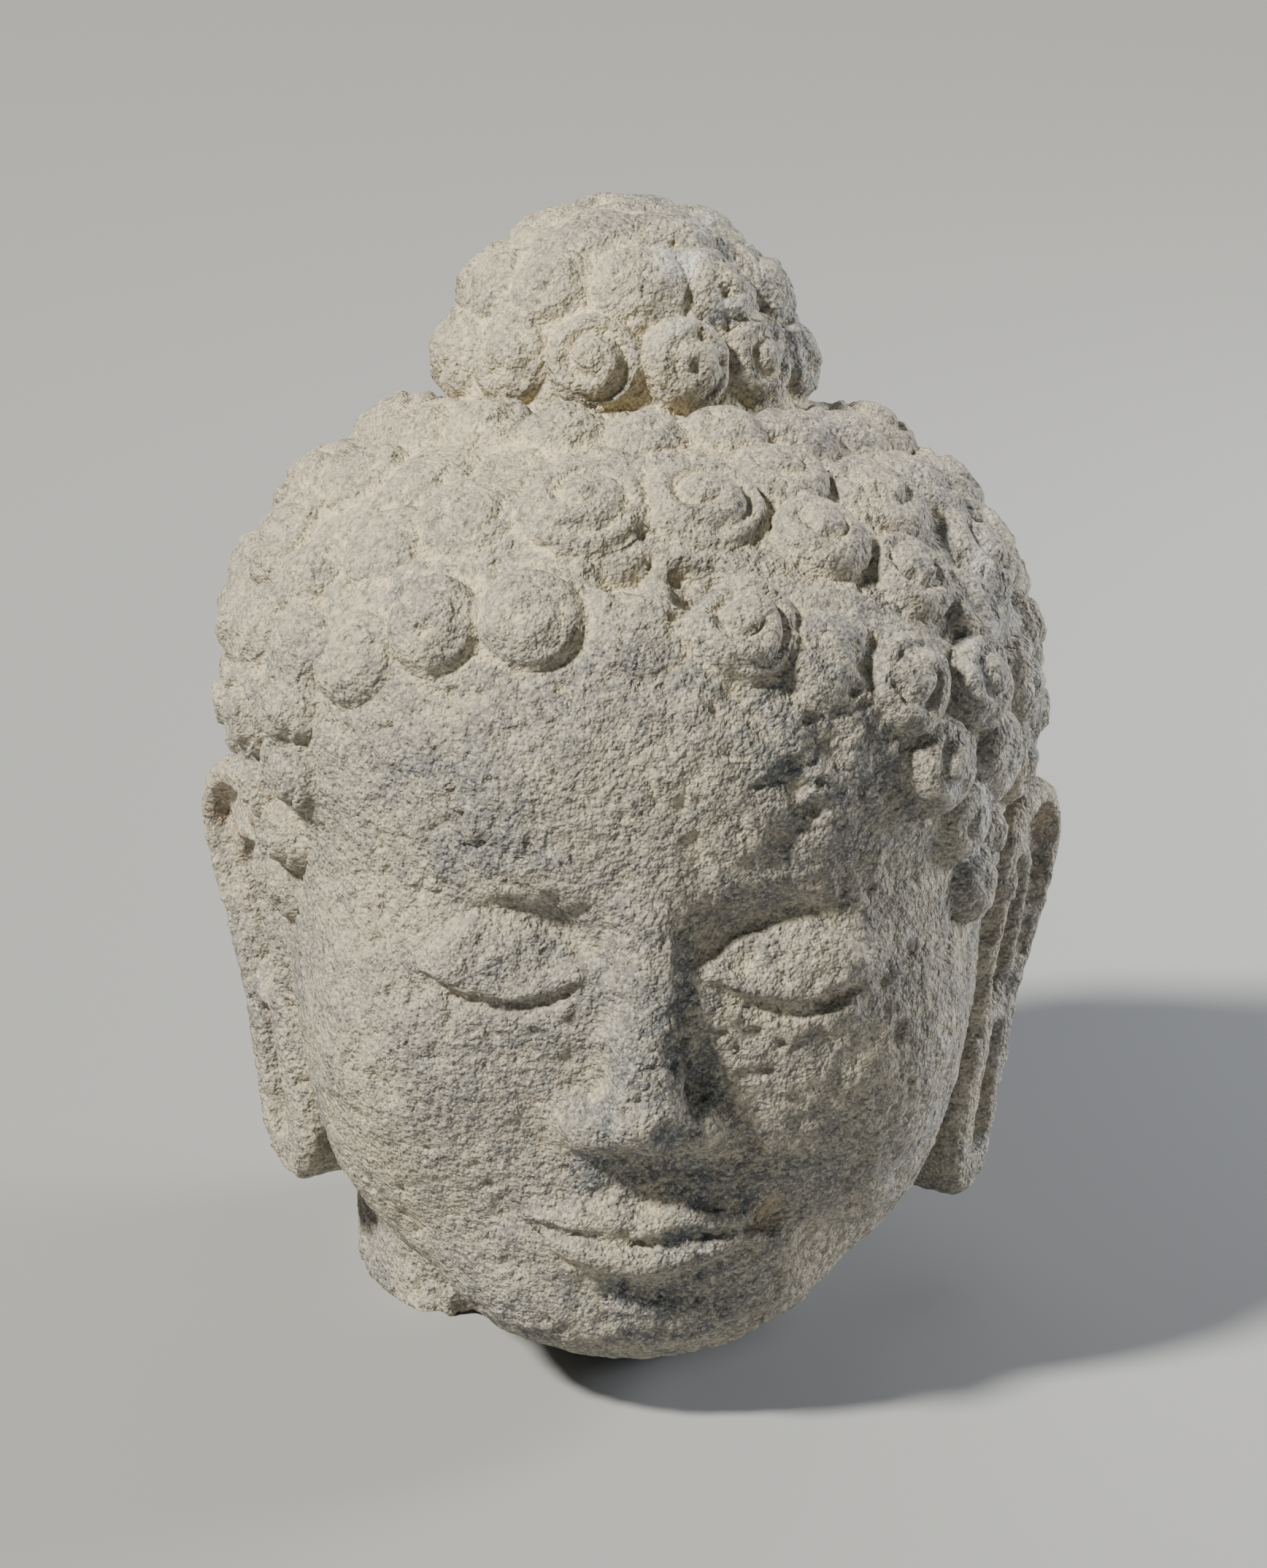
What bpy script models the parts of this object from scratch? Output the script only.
"""A carved stone head with snail-shell curls, a domed topknot and long ears, broken off at the neck.

Blender 4.5. Metres, +Z up. The face looks along -Y, and the origin is the middle of the flat underside.
The carving is laid out as carvers do, in fingers: a face is twelve fingers from hairline to chin, in three
equal parts. Points and radii in fingers have their own origin, level with the chin and between the ears.
"""

import math

import bmesh
import bpy
import numpy as np

# Sizes, in metres
FACE_LENGTH = 0.234  # hairline to chin
NECK_STUB = 0.015  # how far the broken neck reaches below the chin
CURL_SPACING = 0.0318  # middle to middle, on the head
CURL_RELIEF = 0.0076  # how far a curl stands proud of the hair's ground
TOPKNOT_CURL_SPACING = 0.0268
TOPKNOT_CURL_RELIEF = 0.0068
BLOCK_STEP = 0.0072  # grain of the roughed-out block
CARVING_STEP = 0.0026  # grain of the carved surface, before it is thinned

TRIANGLES = 9600
FINGER = FACE_LENGTH / 12

# Places and radii, in fingers
SKULL_MIDDLE = np.array((0.0, 1.2, 9.2))
TOPKNOT_BASE = np.array((-0.22, 2.9, 13.3))
TOPKNOT_LEAN = math.radians(12)  # backwards
TOPKNOT_RADII = np.array((2.74, 2.74, 2.9))
NECK_MIDDLE = np.array((0.0, 1.6))
NECK_RADII = np.array((4.25, 3.9))
EAR_TOP = np.array((5.95, 1.15, 7.72))
EAR_TIP = np.array((5.0, 0.35, 1.05))
EAR_OUTWARD = np.array((0.90, -0.44, 0.0))  # the way the ear's bowl faces
EAR_UNEVENNESS = np.array((0.15, 0.0, -0.2))  # how far its left ear is lower and further out

# The face's edge on one side, from the middle of the forehead to the end of the sideburn
HAIRLINE = np.array(
    (
        (0.0, -4.9, 11.75),
        (1.6, -4.8, 11.7),
        (3.0, -4.4, 11.35),
        (4.1, -3.7, 10.6),
        (4.75, -3.3, 9.7),
        (5.05, -3.0, 8.7),
        (5.25, -2.4, 7.8),
        (5.35, -1.7, 7.0),
    )
)

# Middles of the curls along the face's edge, from its right ear over the forehead to its left ear
FIRST_ROW = np.array(
    (
        (-5.3, -1.35, 6.75),
        (-5.2, -1.99, 7.67),
        (-5.18, -2.66, 8.95),
        (-5.21, -2.63, 9.91),
        (-5.06, -2.4, 10.78),
        (-4.28, -3.35, 10.92),
        (-3.1, -3.81, 11.54),
        (-1.76, -4.2, 11.81),
        (-0.2, -4.41, 11.84),
        (1.29, -4.33, 11.77),
        (2.6, -4.22, 11.3),
        (3.81, -3.75, 10.75),
        (4.34, -3.63, 9.47),
        (4.76, -3.01, 8.36),
        (4.94, -2.51, 7.23),
    )
)

# The row above it, and the curls between it and the ears
SECOND_ROW = np.array(
    (
        (-5.83, -1.33, 9.39),
        (-5.75, -0.98, 10.57),
        (-4.97, -1.54, 11.56),
        (-3.87, -2.03, 12.27),
        (-2.61, -2.24, 12.78),
        (-0.97, -2.64, 12.98),
        (0.77, -2.53, 13.03),
        (2.53, -2.59, 12.6),
        (3.9, -2.4, 11.96),
        (4.82, -1.92, 11.33),
        (4.94, -2.61, 10.4),
        (5.27, -2.27, 9.11),
        (5.75, -0.9, 9.8),
        (5.55, -1.1, 8.6),
        (5.3, -1.75, 7.6),
        (-5.55, -1.2, 8.2),
    )
)

# Middles of the row of curls over and behind each ear
EAR_ROW = np.array(
    (
        (5.8, 0.6, 8.8),
        (5.8, 2.1, 8.5),
        (5.6, 3.3, 7.3),
        (5.3, 3.8, 5.7),
        (4.9, 4.4, 4.1),
        (4.1, 5.3, 2.9),
    )
)

# Where weather and wear have taken the carving down: middle, reach, share of the relief that is gone
WORN_PATCHES = (
    ((-3.6, -2.2, 13.0), 3.3, 0.86),
    ((0.5, -1.6, 14.2), 2.2, 0.55),
    ((-0.2, -4.4, 12.0), 1.1, 0.55),
    ((2.6, -4.3, 11.3), 0.9, 0.5),
    ((0.2, 3.6, 16.6), 2.5, 0.75),
    ((3.6, -0.6, 14.0), 2.2, 0.35),
)

STONE_COLOUR = (0.36, 0.35, 0.325, 1.0)
STONE_ROUGHNESS = 0.93


def clear_scene():
    for old in list(bpy.data.objects):
        bpy.data.objects.remove(old, do_unlink=True)


def stone_material():
    material = bpy.data.materials.new("grey_stone")
    material.use_nodes = True
    shader = material.node_tree.nodes["Principled BSDF"]
    shader.inputs["Base Color"].default_value = STONE_COLOUR
    shader.inputs["Roughness"].default_value = STONE_ROUGHNESS
    shader.inputs["Metallic"].default_value = 0.0
    return material


# Forms, as signed distances in fingers: negative inside, positive outside


def soft_min(a, b, blend):
    """Two forms joined, with a fillet of about this size between them."""
    share = np.clip(0.5 + 0.5 * (b - a) / blend, 0, 1)
    return b + (a - b) * share - blend * share * (1 - share)


def soft_max(a, b, blend):
    """What two forms have in common, with a rounded edge."""
    return -soft_min(-a, -b, blend)


def egg(points, middle, radii, power=2.0):
    """An ellipsoid, or with a higher power a boxier one."""
    radii = np.asarray(radii, float)
    share = np.maximum(np.abs(points - np.asarray(middle)) / radii, 1e-6)
    level = np.maximum((share**power).sum(1) ** (1 / power), 1e-3)
    slope = np.linalg.norm(share ** (power - 1) / radii, axis=1) * level ** (1 - power)
    return (level - 1) / slope


def limb(points, start, end, start_radius, end_radius):
    """A rod with round ends, tapered from one radius to the other."""
    start, end = np.asarray(start, float), np.asarray(end, float)
    axis = end - start
    along = np.clip((points - start) @ axis / (axis @ axis), 0, 1)
    off = np.linalg.norm(points - start - along[:, None] * axis, axis=1)
    return off - (start_radius + (end_radius - start_radius) * along)


def topknot_frame():
    """The topknot's own sideways, backward and upward directions, as rows."""
    lean_sin, lean_cos = math.sin(TOPKNOT_LEAN), math.cos(TOPKNOT_LEAN)
    return np.array(((1, 0, 0), (0, lean_cos, -lean_sin), (0, lean_sin, lean_cos)))


def hair_ground(points):
    """The skull and the topknot, as the surface that the curls stand on."""
    skull = egg(points, (-0.08, 1.0, 9.45), (6.1, 6.4, 4.2), 2.12)
    back = egg(points, (-0.05, 2.5, 6.4), (5.55, 4.6, 5.7), 2.2)
    head = soft_min(skull, back, 0.9)
    knot = egg((points - TOPKNOT_BASE) @ topknot_frame().T, (0, 0, 0), TOPKNOT_RADII, 2.05)
    return soft_min(head, knot, 0.22)


def bell(offset, reach):
    return np.exp(-((offset / reach) ** 2))


def ramp(value, low, high):
    """0 up to the low value, 1 from the high one, and an even slope between."""
    share = np.clip((value - low) / (high - low), 0, 1)
    return share * share * (3 - 2 * share)


def face_relief(across, height):
    """Lids, lips and chin, as heights on the face. Across is measured from its middle, height from the chin."""
    eye = (across - 2.1) / 1.12
    open_eye = np.clip(1 - eye**2, 0, 1)
    lash = 6.72 - 0.36 * open_eye - 0.05 * eye
    crease = 6.95 + 0.62 * open_eye**0.8
    beside = ramp(1.25 - np.abs(eye), 0, 0.25)
    lid = 0.13 * ramp(height - lash, -0.1, 0.06) * ramp(crease - height, -0.06, 0.1)
    slit = 0.13 * bell(height - lash + 0.13, 0.12) * ramp(open_eye, 0, 0.3)
    lower_lid = 0.06 * bell(height - lash + 0.36, 0.16) * ramp(open_eye, 0, 0.3)
    relief = (lid - slit + lower_lid) * beside

    meet = 2.68 + 0.1 * (across / 1.8) ** 2 - 0.05 * bell(across, 0.3)
    corner = np.clip(1 - (across / 1.85) ** 2, 0, 1)
    upper_edge = 0.62 * corner**0.75 * (1 - 0.16 * bell(across, 0.22)) + 1e-3
    lower_edge = 0.66 * np.clip(1 - (across / 1.6) ** 2, 0, 1) ** 0.6 + 1e-3
    up = np.clip((height - meet) / upper_edge, 0, 1)
    down = np.clip((meet - height) / lower_edge, 0, 1)
    upper_lip = 0.2 * (4 * up * (1 - up)) ** 0.75 * corner**0.5
    lower_lip = 0.27 * (4 * down * (1 - down)) ** 0.7 * corner**0.5
    part = 0.09 * bell(height - meet, 0.09) * ramp(1.95 - across, 0, 0.3)
    dimple = 0.1 * bell(np.hypot(across - 1.95, height - 2.82), 0.28)
    fold = 0.14 * bell(height - 1.7, 0.26) * bell(across, 1.25)
    groove = 0.08 * bell(across, 0.2) * ramp(height, 3.15, 3.4) * ramp(4.1 - height, 0, 0.3)
    return relief + upper_lip + lower_lip - part - dimple - fold - groove


def face(points):
    """A calm, even face on the canon's thirds: brow at 8, nose at 4, chin at 0."""
    one_side = np.column_stack((np.abs(points[:, 0]), points[:, 1:]))
    form = egg(points, (0, -0.2, 7.5), (5.3, 5.3, 5.7), 2.2)
    jaw = egg(points, (0, -0.9, 4.45), (5.0, 4.4, 4.5), 2.3)
    form = soft_min(form, jaw, 1.2)
    form = soft_min(form, egg(points, (0, -3.6, 1.4), (2.5, 1.65, 1.35)), 1.2)
    form = soft_min(form, egg(points, (0, -3.9, 3.0), (2.3, 1.42, 1.5)), 0.9)
    form = soft_min(form, egg(one_side, (2.6, -3.3, 4.9), (1.7, 1.3, 1.7)), 1.3)

    socket = egg(one_side, (2.2, -6.0, 7.3), (1.8, 1.2, 0.85))
    form = soft_max(form, -socket, 0.4)
    lid = egg(one_side, (2.1, -4.05, 6.85), (1.5, 1.12, 1.02))
    form = soft_min(form, lid, 0.25)

    bridge = limb(points, (0, -5.1, 8.0), (0, -5.95, 4.85), 0.36, 0.6)
    nostril = egg(one_side, (0.72, -5.5, 4.55), (0.5, 0.62, 0.46))
    form = soft_min(form, soft_min(bridge, nostril, 0.25), 0.45)
    ahead = ramp(-points[:, 1], 2.5, 3.5)
    return form - face_relief(one_side[:, 0], points[:, 2]) * ahead


def ear_frame():
    """The ear's own directions, as rows: down its length, back across it, and out of its bowl."""
    down = EAR_TIP - EAR_TOP
    down = down / np.linalg.norm(down)
    out = EAR_OUTWARD - down * (EAR_OUTWARD @ down)
    out = out / np.linalg.norm(out)
    return np.array((down, np.cross(out, down), out))


def ear(points):
    """A long ear with a rolled rim, a hollow bowl and a slit lobe that reaches nearly to the chin."""
    on_left = points[:, :1] > 0
    one_side = np.where(on_left, points - EAR_UNEVENNESS, points * (-1, 1, 1))
    down, back, out = ((one_side - EAR_TOP) @ ear_frame().T).T
    length = np.linalg.norm(EAR_TIP - EAR_TOP)
    flat = np.stack((down, back, 0 * out), axis=1)
    shell = limb(flat, (1.3, 0.15, 0), (2.5, 0.0, 0), 1.35, 1.1)
    lobe = limb(flat, (2.8, -0.1, 0), (length - 0.9, -0.15, 0), 0.85, 0.9)
    outline = soft_min(shell, lobe, 0.6)
    scoop = 0.3 * ramp(-outline, 0.32, 0.6) * ramp(3.9 - down, 0, 0.8)
    bowl = 0.35 * ramp(-limb(flat, (1.9, -0.25, 0), (3.1, -0.3, 0), 0.5, 0.3), -0.3, 0.25)
    inner_rim = 0.18 * bell(limb(flat, (1.7, -0.15, 0), (3.2, -0.1, 0), 0.62, 0.42), 0.2)
    slit = 0.4 * ramp(-limb(flat, (4.1, -0.1, 0), (length - 1.0, -0.1, 0), 0.12, 0.16), -0.22, 0.12)
    hollow = scoop + bowl - inner_rim * ramp(3.6 - down, 0, 0.6) + slit
    through = np.maximum(out - 0.45 + hollow, -0.75 - out)
    rounding = 0.3
    across, through = outline + rounding, through + rounding
    corner = np.hypot(np.maximum(across, 0), np.maximum(through, 0))
    return corner + np.minimum(np.maximum(across, through), 0) - rounding


def neck(points):
    """A column, broken away higher in front and on its left side."""
    middle = np.append(NECK_MIDDLE, 0)
    level = np.linalg.norm((points - middle)[:, :2] / NECK_RADII, axis=1)
    column = (level - 1) * NECK_RADII.min()
    column = soft_max(column, points[:, 2] - 5.0, 0.5)
    stub = NECK_STUB / FINGER
    for place, way in (((2.3, 1.5, -stub), (1.1, -0.1, -1.0)), ((0, -1.3, -stub), (0, -0.9, -1.0))):
        broken = (points - place) @ (np.array(way) / np.linalg.norm(way))
        column = soft_max(column, broken, 0.25)
    return column


def body_form(points):
    """The head without its ears and curls."""
    form = soft_min(hair_ground(points), face(points), 0.5)
    form = soft_min(form, egg(points, (0, 0.9, 5.0), (5.15, 1.5, 3.9), 2.4), 0.5)
    return soft_min(form, neck(points), 0.7)


def head_form(points):
    """The whole head without its curls."""
    return soft_min(body_form(points), ear(points), 0.3)


# Curls


def on_surface(directions):
    """Where rays from inside the skull come out of the head."""
    reach = np.full(len(directions), 3.0)
    for _ in range(25):
        reach -= body_form(SKULL_MIDDLE + reach[:, None] * directions)
    return SKULL_MIDDLE + reach[:, None] * directions


def ring(polar, count, turn, frame):
    """Directions around the frame's upward axis, evenly spaced."""
    around = (np.arange(count) + turn) * 2 * math.pi / count
    across = np.sin(polar) * np.stack((np.sin(around), -np.cos(around)), axis=1)
    return np.column_stack((across, np.full(count, np.cos(polar)))) @ frame


def even_steps(route, step):
    """Points along a route, the given step apart as near as whole steps allow."""
    lengths = np.linalg.norm(np.diff(route, axis=0), axis=1)
    along = np.concatenate(((0,), np.cumsum(lengths)))
    count = max(2, round(along[-1] / step))
    wanted = np.linspace(0, along[-1], count + 1)
    return np.stack([np.interp(wanted, along, route[:, i]) for i in range(3)], axis=1)


def face_side(points):
    """How far each point is inside the face's edge, or inside an ear, or under the nape. Above 0 it has no hair."""
    wide = np.interp(-np.abs(points[:, 0]), -HAIRLINE[::-1, 0], HAIRLINE[::-1, 2])
    in_window = np.where(points[:, 1] < -1.5, wide - points[:, 2], -9)
    beside = np.minimum(HAIRLINE[-1, 2] - points[:, 2], 4.0 - points[:, 1])
    on_ear = np.minimum(9.0 - points[:, 2], 2.2 - np.abs(points[:, 1] - 1.0))
    under_nape = 1.9 - points[:, 2]
    return np.maximum.reduce((in_window, beside, on_ear, under_nape))


def spread(free, fixed, spacing, rounds=40):
    """Lets the free curls settle an even distance from each other and from the fixed ones."""
    for _ in range(rounds):
        everyone = np.concatenate((free, fixed))
        offset = free[:, None, :] - everyone[None, :, :]
        gap = np.linalg.norm(offset, axis=2)
        push = np.where((gap > 1e-6) & (gap < spacing), (spacing - gap) / np.maximum(gap, 1e-6), 0)
        free = free + 0.35 * (offset * push[:, :, None]).sum(1)
        towards = free - SKULL_MIDDLE
        free = on_surface(towards / np.linalg.norm(towards, axis=1)[:, None])
    return free


def head_curls():
    """Middles of the curls on the head: rows round its edge and its topknot, and rings between."""
    spacing = CURL_SPACING / FINGER
    behind = even_steps(EAR_ROW, spacing)
    rows = np.concatenate((FIRST_ROW, SECOND_ROW, behind, behind * (-1, 1, 1)))
    towards = rows - SKULL_MIDDLE
    edge = on_surface(towards / np.linalg.norm(towards, axis=1)[:, None])
    axis = TOPKNOT_BASE - SKULL_MIDDLE
    lean = math.atan2(axis[1], axis[2])
    frame = np.array(
        ((1, 0, 0), (0, math.cos(lean), -math.sin(lean)), (0, math.sin(lean), math.cos(lean)))
    )
    height = np.linalg.norm(axis)
    first = math.atan2(TOPKNOT_RADII[0], height) + 0.62 * spacing / height
    rings, polar, number = [], first, 0
    while polar < math.radians(165):
        count = max(5, round(2 * math.pi * 6.2 * math.sin(polar) / spacing))
        rings.append(on_surface(ring(polar, count, 0.5 * (number % 2), frame)))
        polar += 0.88 * spacing / 6.2
        number += 1
    inner, others = rings[0], np.concatenate(rings[1:])
    others = others[face_side(others) < -0.3 * spacing]
    far = np.linalg.norm(others[:, None] - edge[None], axis=2).min(1) > 0.75 * spacing
    others = spread(others[far], np.concatenate((edge, inner)), spacing * 1.03)
    kept = others[face_side(others) < -0.1 * spacing]
    return np.concatenate((edge, inner, kept))


def topknot_curls():
    """Middles of the curls on the topknot, in rings that close on its crown."""
    spacing = TOPKNOT_CURL_SPACING / FINGER
    frame = topknot_frame()
    middles = []
    for turn, degrees in ((0.6, 79), (0.1, 54), (0.6, 30), (0.1, 8)):
        polar = math.radians(degrees)
        count = max(3, round(2 * math.pi * TOPKNOT_RADII[0] * math.sin(polar) / spacing))
        outward = ring(polar, count, turn, frame)
        reach = 1 / np.linalg.norm(outward @ frame.T / TOPKNOT_RADII, axis=1)
        middles.append(TOPKNOT_BASE + outward * reach[:, None])
    return np.concatenate(middles)


def curl_radii(middles, spacing):
    """Each curl reaches a little past halfway to its two nearest neighbours."""
    gaps = np.sort(np.linalg.norm(middles[:, None] - middles[None], axis=2), axis=1)
    return 0.55 * np.clip(gaps[:, 1:3].mean(1), 0.66 * spacing, 1.04 * spacing)


def curl_layout():
    """Every curl's middle, radius and relief, in fingers."""
    groups = (
        (head_curls(), CURL_SPACING, CURL_RELIEF),
        (topknot_curls(), TOPKNOT_CURL_SPACING, TOPKNOT_CURL_RELIEF),
    )
    middles = np.concatenate([group[0] for group in groups])
    radii = np.concatenate([curl_radii(m, s / FINGER) for m, s, _ in groups])
    reliefs = np.concatenate([np.full(len(m), r / FINGER) for m, _, r in groups])
    for place, reach, gone in WORN_PATCHES:
        near = np.exp(-((np.linalg.norm(middles - place, axis=1) / reach) ** 2) * 2)
        reliefs = reliefs * (1 - gone * near)
    return middles, radii, reliefs


def curl_heights(points, middles, radii, reliefs):
    """How far the curls raise the surface at each point: low domes, in front with a ring cut round a knob."""
    heights = np.zeros(len(points))
    for middle, radius, relief in zip(middles, radii, reliefs):
        front = ramp(-middle[1], -3.0, -1.0)
        share = np.linalg.norm(points - middle, axis=1) / radius
        near = np.flatnonzero(share < 1)
        share = share[near]
        dome = (1 - share**2.6) ** 0.5 - front * 0.26 * bell(share - 0.5, 0.2)
        heights[near] = np.maximum(heights[near], relief * dome)
    return heights


# Building


def add_block(name, primitive, middle, radii):
    """One rough primitive of the block, at its place in fingers."""
    primitive(location=middle)
    block = bpy.context.object
    block.name = name
    block.scale = radii
    bpy.ops.object.transform_apply(location=True, rotation=True, scale=True)
    return block


def sphere(location):
    bpy.ops.mesh.primitive_uv_sphere_add(segments=32, ring_count=16, radius=1, location=location)


def drum(location):
    bpy.ops.mesh.primitive_cylinder_add(vertices=32, radius=1, depth=2, location=location)


def rough_out():
    """The stone roughed out as plain primitives, fused into one skin."""
    stub = NECK_STUB / FINGER
    blocks = [
        add_block("skull", sphere, (0, 1.0, 9.5), (6.1, 6.4, 4.9)),
        add_block("back", sphere, (0, 2.5, 6.4), (5.6, 4.6, 5.7)),
        add_block("knot", sphere, tuple(TOPKNOT_BASE), tuple(TOPKNOT_RADII)),
        add_block("mask", sphere, (0, -0.5, 6.2), (5.2, 5.2, 6.2)),
        add_block("chin", sphere, (0, -3.3, 2.2), (2.6, 2.1, 2.2)),
        add_block("nose", sphere, (0, -5.5, 5.4), (0.9, 0.9, 1.6)),
        add_block("neck", drum, (0.0, 1.9, 1.4), (4.0, 3.4, 2.7 + stub)),
    ]
    for share, width in ((0.2, 1.3), (0.5, 1.0), (0.8, 0.9)):
        middle = EAR_TOP + (EAR_TIP - EAR_TOP) * share
        for place in (middle * (-1, 1, 1), middle + EAR_UNEVENNESS):
            blocks.append(add_block("ear", sphere, tuple(place), (width * 0.8, width, 1.5)))
    bpy.ops.object.select_all(action="DESELECT")
    for block in blocks:
        block.select_set(True)
    bpy.context.view_layer.objects.active = blocks[0]
    bpy.ops.object.join()
    head = bpy.context.object
    head.name = head.data.name = "head"
    return head


def fuse(head, step):
    """Wraps the head in a fresh even skin of small squares."""
    remesh = head.modifiers.new("Fuse", "REMESH")
    remesh.mode = "VOXEL"
    remesh.voxel_size = step / FINGER
    bpy.context.view_layer.objects.active = head
    bpy.ops.object.modifier_apply(modifier=remesh.name)


def mesh_points(mesh):
    points = np.empty(len(mesh.vertices) * 3)
    mesh.vertices.foreach_get("co", points)
    return points.reshape(-1, 3)


def move_points(mesh, points):
    mesh.vertices.foreach_set("co", points.astype(np.float32).ravel())
    mesh.update()


def outward_slope(points, form):
    """The form's slope at each point, which is its outward direction."""
    small = 0.02
    slopes = []
    for axis in np.eye(3) * small:
        slopes.append((form(points + axis) - form(points - axis)) / (2 * small))
    return np.stack(slopes, axis=1)


def mesh_edges(mesh):
    edges = np.empty(len(mesh.edges) * 2, int)
    mesh.edges.foreach_get("vertices", edges)
    return edges.reshape(-1, 2)


def neighbour_middles(points, edges):
    """The middle of each point's neighbours."""
    first, second = edges.T
    size = len(points)
    count = np.bincount(edges.ravel(), minlength=size)
    sums = [
        np.bincount(first, axis[second], size) + np.bincount(second, axis[first], size)
        for axis in points.T
    ]
    return np.stack(sums, axis=1) / count[:, None]


def press_to(head, form, rounds, ease):
    """Moves every point of the skin onto the carved form, and eases the skin so that it doesn't fold."""
    points = mesh_points(head.data)
    edges = mesh_edges(head.data)
    for round_number in range(rounds):
        slope = outward_slope(points, form)
        steepness = np.maximum((slope**2).sum(1), 0.25)
        shift = np.clip(form(points) / steepness, -0.3, 0.3)
        points -= shift[:, None] * slope
        if round_number < rounds - 2:
            points += ease * (neighbour_middles(points, edges) - points)
    move_points(head.data, points)


def raise_curls(head):
    """Lifts the curls out of the hair's ground."""
    points = mesh_points(head.data)
    off_ear = ramp(ear(points), 0.04, 0.34)
    heights = curl_heights(points, *curl_layout()) * off_ear
    slope = outward_slope(points, body_form)
    slope /= np.maximum(np.linalg.norm(slope, axis=1), 1e-6)[:, None]
    move_points(head.data, points + slope * heights[:, None])


def thin(head, triangles):
    """Keeps the given number of triangles, most of them where the carving turns sharply."""
    decimate = head.modifiers.new("Thin", "DECIMATE")
    quads = len(head.data.polygons)
    decimate.ratio = min(1.0, triangles / (2 * quads))
    decimate.use_collapse_triangulate = True
    bpy.context.view_layer.objects.active = head
    bpy.ops.object.modifier_apply(modifier=decimate.name)


def cut_underside(head):
    """Cuts the neck flat and closes it, so that the head stands."""
    stub = NECK_STUB / FINGER
    work = bmesh.new()
    work.from_mesh(head.data)
    everything = work.verts[:] + work.edges[:] + work.faces[:]
    cut = bmesh.ops.bisect_plane(
        work, geom=everything, plane_co=(0, 0, -stub), plane_no=(0, 0, -1), clear_outer=True
    )
    rim = [e for e in cut["geom_cut"] if isinstance(e, bmesh.types.BMEdge)]
    bmesh.ops.holes_fill(work, edges=rim, sides=0)
    work.to_mesh(head.data)
    work.free()


def to_real_size(head):
    """From fingers to metres, with the origin in the middle of the neck's underside."""
    points = mesh_points(head.data)
    origin = np.append(NECK_MIDDLE, -NECK_STUB / FINGER)
    move_points(head.data, (points - origin) * FINGER)


def build_head():
    head = rough_out()
    fuse(head, BLOCK_STEP)
    press_to(head, head_form, 24, 0.5)
    fuse(head, CARVING_STEP)
    press_to(head, head_form, 6, 0.3)
    raise_curls(head)
    thin(head, TRIANGLES)
    cut_underside(head)
    to_real_size(head)
    head.data.materials.clear()
    head.data.materials.append(stone_material())
    head.data.shade_smooth()
    head.data.set_sharp_from_angle(angle=math.radians(75))
    return head


def main():
    clear_scene()
    head = build_head()
    collection = bpy.data.collections.new("stone_head")
    bpy.context.scene.collection.children.link(collection)
    for parent in list(head.users_collection):
        parent.objects.unlink(head)
    collection.objects.link(head)


main()
